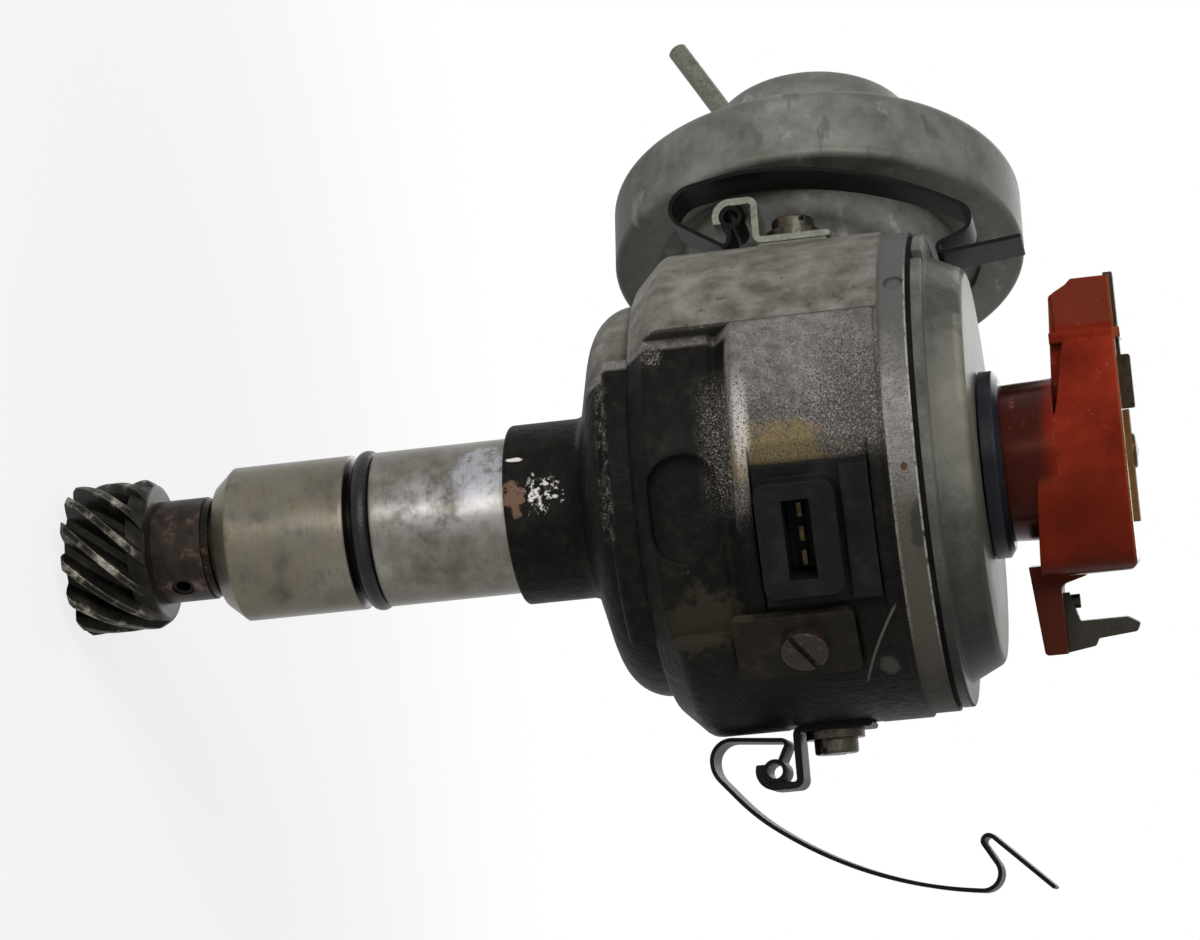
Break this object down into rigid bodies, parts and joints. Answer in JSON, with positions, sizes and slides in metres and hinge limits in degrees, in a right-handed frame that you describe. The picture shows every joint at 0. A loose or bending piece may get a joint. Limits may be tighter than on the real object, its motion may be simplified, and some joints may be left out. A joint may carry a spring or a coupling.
{
  "type": "ignition distributor",
  "caption": "Gear-driven ignition distributor with rotor arm, vacuum and centrifugal advance, connector and spring clips for a cap.",
  "frame": {"origin": "on the shaft's axis, in the seat plane where the machined shank meets the thicker neck", "axes": "+Z along the shaft from the drive gear to the rotor arm; -Y is the side with the connector; +X is near spring clip B, which stands 7 degrees from it towards -Y"},
  "size_m": [0.1598, 0.1358, 0.1864],
  "materials": {
    "cast_housing": "as-cast and machined, oil stained",
    "bronze": "sintered",
    "black_rubber": "matt",
    "ground_steel": "ground",
    "gear_steel": "dark with bright worn crests",
    "washer_steel": "hardened, oily",
    "plated_sheet": "plated, satin",
    "spring_wire": "drawn",
    "felt": "oiled felt",
    "magnet": "bonded magnet",
    "winding": "varnished winding",
    "zinc_can": "aged zinc plate",
    "plated_strap": "zinc plate, satin",
    "black_strip": "blackened spring steel",
    "screw_steel": "plated",
    "rusty_screw": "rusted",
    "greasy_clamp": "greasy",
    "gasket_fibre": "matt",
    "cover_moulding": "satin moulding",
    "collar_moulding": "satin moulding",
    "rotor_moulding": "glossy phenolic",
    "contact_brass": "worn",
    "potting": "potting resin",
    "limiter_steel": "dark",
    "connector_moulding": "satin moulding"
  },
  "bodies": {
    "root": {"housing": "cast_housing", "shank_o_ring": "black_rubber", "lower_bush": "bronze", "upper_bush": "bronze", "bearing_plate": "plated_sheet", "bearing_plate_screws": "screw_steel", "plate_circlip": "spring_wire", "vacuum_can_front": "zinc_can", "vacuum_can_rear": "zinc_can", "vacuum_pipe": "zinc_can", "vacuum_strap": "plated_strap", "vacuum_diaphragm": "black_rubber", "vacuum_spring": "spring_wire", "cover_gasket": "gasket_fibre", "dust_cover": "cover_moulding", "connector_body": "connector_moulding", "connector_terminals": "contact_brass", "connector_clamp": "greasy_clamp", "clamp_screw": "rusty_screw", "clip_bracket_a": "plated_strap", "clip_bracket_b": "black_strip", "clip_screws": "screw_steel", "clip_washers": "screw_steel"},
    "shaft": {"shaft": "ground_steel", "drive_gear": "gear_steel", "gear_pin": "ground_steel", "thrust_washer": "washer_steel", "thrust_shim": "washer_steel", "upper_thrust_washer": "washer_steel", "weight_carrier": "plated_sheet", "weight_posts": "ground_steel", "weight_clips": "spring_wire", "advance_springs": "spring_wire", "spindle_circlip": "spring_wire"},
    "advance_sleeve": {"cam_sleeve": "ground_steel", "felt_wick": "felt", "trigger_wheel": "plated_sheet", "trigger_pin": "ground_steel", "wheel_circlip": "spring_wire", "dust_collar": "collar_moulding", "rotor_arm": "rotor_moulding", "rotor_electrode": "contact_brass", "rotor_resistor": "potting", "rotor_centre_contact": "contact_brass", "rotor_limiter": "limiter_steel"},
    "flyweight_a": {"flyweight_a": "plated_sheet"},
    "flyweight_b": {"flyweight_b": "plated_sheet"},
    "pickup_plate": {"pickup_plate": "plated_sheet", "plate_pin": "ground_steel", "rod_clip": "spring_wire", "pickup_magnet": "magnet", "pole_piece": "plated_sheet", "pickup_coil": "winding", "pickup_screws": "screw_steel"},
    "pull_rod": {"pull_rod": "ground_steel", "diaphragm_cup_front": "plated_sheet", "diaphragm_cup_rear": "plated_sheet"},
    "spring_clip_a": {"spring_clip_a": "black_strip"},
    "spring_clip_b": {"spring_clip_b": "black_strip"}
  },
  "joints": [
    {"name": "shaft_spin", "type": "hinge", "parent": "root", "child": "shaft", "pos_m": [0, 0, 0], "axis": [0, 0, 1], "continuous": true},
    {"name": "centrifugal_advance", "type": "hinge", "parent": "shaft", "child": "advance_sleeve", "pos_m": [0, 0, 0.06], "axis": [0, 0, 1], "range_deg": [0, 12], "stiffness_Nm_per_rad": 0.5, "deforming": ["advance_springs"]},
    {"name": "flyweight_a_swing", "type": "hinge", "parent": "shaft", "child": "flyweight_a", "pos_m": [0.02, 0, 0.0306], "axis": [0, 0, 1], "range_deg": [-21.1, 0]},
    {"name": "flyweight_b_swing", "type": "hinge", "parent": "shaft", "child": "flyweight_b", "pos_m": [-0.02, 0, 0.0306], "axis": [0, 0, 1], "range_deg": [-21.1, 0]},
    {"name": "vacuum_advance", "type": "hinge", "parent": "root", "child": "pickup_plate", "pos_m": [0, 0, 0.048], "axis": [0, 0, 1], "range_deg": [0, 8], "stiffness_Nm_per_rad": 0.8},
    {"name": "pull_rod_slide", "type": "slide", "parent": "root", "child": "pull_rod", "axis": [-0.8746, 0.4848, 0], "range_m": [0, 0.0036], "deforming": ["vacuum_diaphragm", "vacuum_spring"]},
    {"name": "clip_a_hinge", "type": "hinge", "parent": "root", "child": "spring_clip_a", "pos_m": [-0.04662, 0.01337, 0.0409], "axis": [-0.2756, -0.9613, 0], "range_deg": [0, 14]},
    {"name": "clip_b_hinge", "type": "hinge", "parent": "root", "child": "spring_clip_b", "pos_m": [0.04814, -0.00591, 0.0409], "axis": [-0.1219, -0.9925, 0], "range_deg": [0, 38.5]}
  ],
  "couplings": [
    {"joint": "flyweight_a_swing", "follows": "centrifugal_advance", "ratio": -1.75},
    {"joint": "flyweight_b_swing", "follows": "centrifugal_advance", "ratio": -1.75},
    {"joint": "pull_rod_slide", "follows": "vacuum_advance", "m_per_rad": 0.025}
  ]
}
